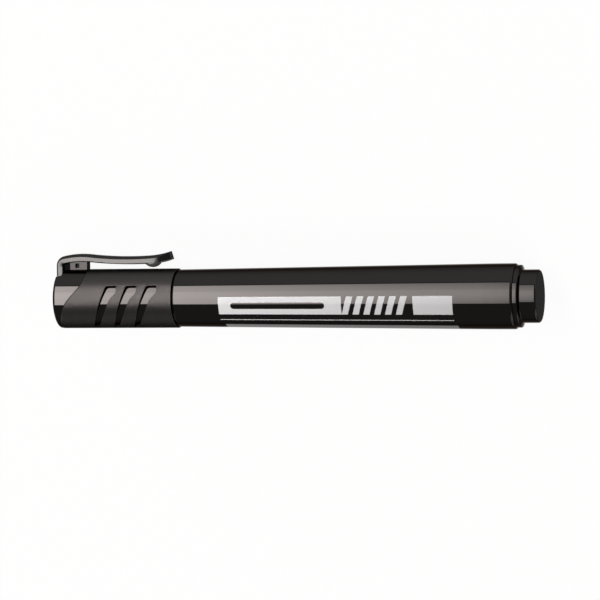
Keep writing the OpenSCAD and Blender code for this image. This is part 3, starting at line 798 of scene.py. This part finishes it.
def roundNose(bm):  # narrows the tip to a rounded nose and closes its end
    k = clip
    tipR, endSlope = k["bendR"][3], radians(k["slopes"][4])
    startSlope = endSlope - k["nose"] / tipR
    along, height = clipBends()[3]
    middle = Vector((height, 0, along))
    lowest, furthest = k["noseFrom"]
    for v in bm.verts:
        arm = v.co - middle
        reach = sqrt(arm.x ** 2 + arm.z ** 2)
        slope = asin(max(-1, min(1, -arm.z / reach)))
        if v.co.x > lowest and arm.x < 0 and v.co.z < furthest and slope > startSlope:
            share = min((slope - startSlope) / (endSlope - startSlope), 1)
            deep = reach - tipR
            across = v.co.y * cos(asin(k["narrow"] * share))
            if deep < k["crown"] + 0.01:
                deep = k["crownR"] - sqrt(k["crownR"] ** 2 - across ** 2)
            v.co = middle - (tipR + deep) * Vector((cos(slope), 0, sin(slope)))
            v.co.y = across
    tidy(bm)
    far = min(v.co.z for v in bm.verts)
    back, aside = k["noseEnd"]
    nose = [v for v in bm.verts if v.co.z < far + back and abs(v.co.y) < aside]
    bmesh.ops.contextual_create(bm, geom=nose)


def makeClip():
    k = clip
    bm = clipSheet()
    roundNose(bm)
    bmesh.ops.recalc_face_normals(bm, faces=bm.faces)
    if sum(f.normal.x * f.calc_area() for f in bm.faces) < 0:
        bmesh.ops.reverse_faces(bm, faces=bm.faces)
    bmesh.ops.solidify(bm, geom=bm.faces[:], thickness=k["sheet"])
    bmesh.ops.recalc_face_normals(bm, faces=bm.faces)
    least, near = k["rim"]
    rims = [e for e in sharpEdges(bm, least)
            if all(abs(abs(v.co.y) - k["half"]) < near for v in e.verts)
            and max(v.co.x for v in e.verts) > k["legFoot"] + near]
    rounded(bm, rims, k["edge"], 3)
    wide, high, inside = k["foot"]
    back, lap, rounding = k["strap"]
    face, low, top = k["legFace"] - back, high - k["sheet"] / 2, high + k["sheet"] / 2
    tongue = block((low, -wide / 2, inside), (top, wide / 2, face), k["footRound"])
    bm = combined(bm, tongue, "UNION")
    strap = block((low, -wide / 2, face - k["sheet"]), (k["legFoot"] + lap, wide / 2, face), rounding)
    bm = combined(bm, strap, "UNION")
    at, middle, r = dimpleBall()
    ball = bmesh.new()
    bmesh.ops.create_uvsphere(ball, u_segments=64, v_segments=40, radius=r)
    bmesh.ops.translate(ball, vec=(middle, 0, at), verts=ball.verts)
    aside = k["half"] - k["dimpleIn"]
    cuts = (((k["dimple"][3], 0, 0), (1, 0, 0)), ((0, aside, 0), (0, 1, 0)), ((0, -aside, 0), (0, -1, 0)))
    for spot, way in cuts:
        halved = bmesh.ops.bisect_plane(ball, geom=ball.verts[:] + ball.edges[:] + ball.faces[:],
                                        dist=weld["sliver"], plane_co=spot, plane_no=way,
                                        clear_outer=True)
        bmesh.ops.contextual_create(ball, geom=only(halved["geom_cut"], bmesh.types.BMEdge))
    bm = combined(bm, tidy(ball), "UNION")
    return placed(bm, "pocketClip", "pocket_clip", "clip", "steel", shading["crisp"])


finishes["steel"] = clipSteel()
makeClip()
print("clip done")

look = {"swing": 14.881, "distance": 0.87285, "lens": 188.795, "sensor": 36, "roll": 0.3, "along": 67.653,
        "up": -0.717, "reach": (0.01, 100)}


def standAt(name, data, spot, axes):  # a camera or a lamp at a spot, its own axes along three ways
    holder = bpy.data.objects.new(name, data)
    holder.matrix_world = Matrix.Translation(spot) @ Matrix(axes).transposed().to_4x4()
    bpy.context.scene.collection.objects.link(holder)
    return holder


def setCamera():
    v = look
    swing, roll = radians(v["swing"]), radians(v["roll"])
    back = cos(swing) * labelWay - sin(swing) * alongWay
    right = clipWay.cross(back).normalized()
    up = back.cross(right)
    right, up = right * cos(roll) - up * sin(roll), up * cos(roll) + right * sin(roll)
    spot = layDown @ Vector((v["up"], 0, v["along"])) + back * v["distance"]
    camera = bpy.data.cameras.new("photoView")
    camera.lens, camera.sensor_width = v["lens"], v["sensor"]
    camera.clip_start, camera.clip_end = v["reach"]
    bpy.context.scene.camera = standAt("photoView", camera, spot, (right, up, back))


strip = {"low": -25.0, "high": 49.0, "away": 3.0, "middle": 67.7, "tailSide": 0.43, "capSide": 1.2,
         "levels": (1.04, 1.04, 1.07, 1.07, 0.93, 0.93), "least": 6.0, "most": 10.0, "fade": 0.5,
         "colour": (1, 0.965, 0.95), "room": 0.3, "roomColour": (1, 0.985, 0.97, 1),
         "fills": ((-0.7, 0.25), (1.9, 3.9), (-3.9, -1.9)), "fillArc": (-122.0, -72.0), "fillLevel": 2.4}


def lightBox(name, low, high, tailSide, capSide):  # a flat box of light over an arc about the axis
    turn, each = radians(low + high) / 2, radians(high - low)
    toward = cos(turn) * labelWay + sin(turn) * clipWay
    lamp = bpy.data.lights.new(name, "AREA")
    lamp.shape, lamp.color = "RECTANGLE", strip["colour"]
    lamp.size, lamp.size_y = capSide - tailSide, 2 * strip["away"] * tan(each / 2)
    spot = layDown @ Vector((0, 0, strip["middle"]))
    spot += toward * strip["away"] + alongWay * (tailSide + capSide) / 2
    holder = standAt(name, lamp, spot, (alongWay, toward.cross(alongWay), toward))
    holder.visible_camera = False
    return lamp, pi * lamp.size * lamp.size_y


def setLight():  # tall strip boxes in front, dimmer towards the tail, and dim fills behind
    s = strip
    each = (s["high"] - s["low"]) / len(s["levels"])
    for i, level in enumerate(s["levels"]):
        low = s["low"] + i * each
        lamp, area = lightBox("stripBox", low, low + each, s["tailSide"], s["capSide"])
        lamp.energy = level * area
        lamp.use_nodes = True
        share, down = Wire(lamp.node_tree).add("ShaderNodeNewGeometry", out="Parametric").parts()[:2]
        off = 2 * (i + 1 - down) / len(s["levels"]) - 1  # from the arc's middle line
        power = (s["least"] + s["most"] * share * share) * (1 - s["fade"] * (1 - share) * off * off)
        lamp.node_tree.links.new(power.socket, lamp.node_tree.nodes["Emission"].inputs["Strength"])
    for tailSide, capSide in s["fills"]:
        lamp, area = lightBox("backFill", *s["fillArc"], tailSide, capSide)
        lamp.energy = s["fillLevel"] * area
    world = bpy.data.worlds.new("room")
    world.use_nodes = True
    backdrop = world.node_tree.nodes["Background"].inputs
    backdrop["Color"].default_value, backdrop["Strength"].default_value = s["roomColour"], s["room"]
    bpy.context.scene.world = world


table = {"size": 6.0, "cells": 8, "colour": (0.95, 0.95, 0.95, 1), "white": (1, 1, 1, 1), "lift": 0.94}


def setTable():  # nearly plain white to the camera and in reflections
    bm = bmesh.new()
    bmesh.ops.create_grid(bm, x_segments=table["cells"], y_segments=table["cells"], size=table["size"])
    mesh = bpy.data.meshes.new("tableTop")
    bm.to_mesh(mesh)
    bm.free()
    floor = bpy.data.objects.new("tableTop", mesh)
    bpy.context.scene.collection.objects.link(floor)
    material, start = newMaterial("paleTable")[:2]
    outs = start.add("ShaderNodeLightPath").socket.node.outputs
    kinds = ("Is Camera Ray", "Is Glossy Ray", "Is Transmission Ray")
    camera, glossy, through = (Wire(start.tree, outs[kind]) for kind in kinds)
    seen = camera.math("MAXIMUM", glossy).math("MAXIMUM", through) * table["lift"]
    matte = start.add("ShaderNodeBsdfDiffuse", {}, {"Color": table["colour"]})
    white = start.add("ShaderNodeEmission", {}, {"Color": table["white"], "Strength": 1.0})
    mixed = start.add("ShaderNodeMixShader", {}, {0: seen, 1: matte, 2: white})
    start.add("ShaderNodeOutputMaterial", {}, {"Surface": mixed})
    mesh.materials.append(material)


setCamera()
setLight()
setTable()
bpy.context.scene.view_settings.view_transform = "Standard"
print("camera, light and table set")
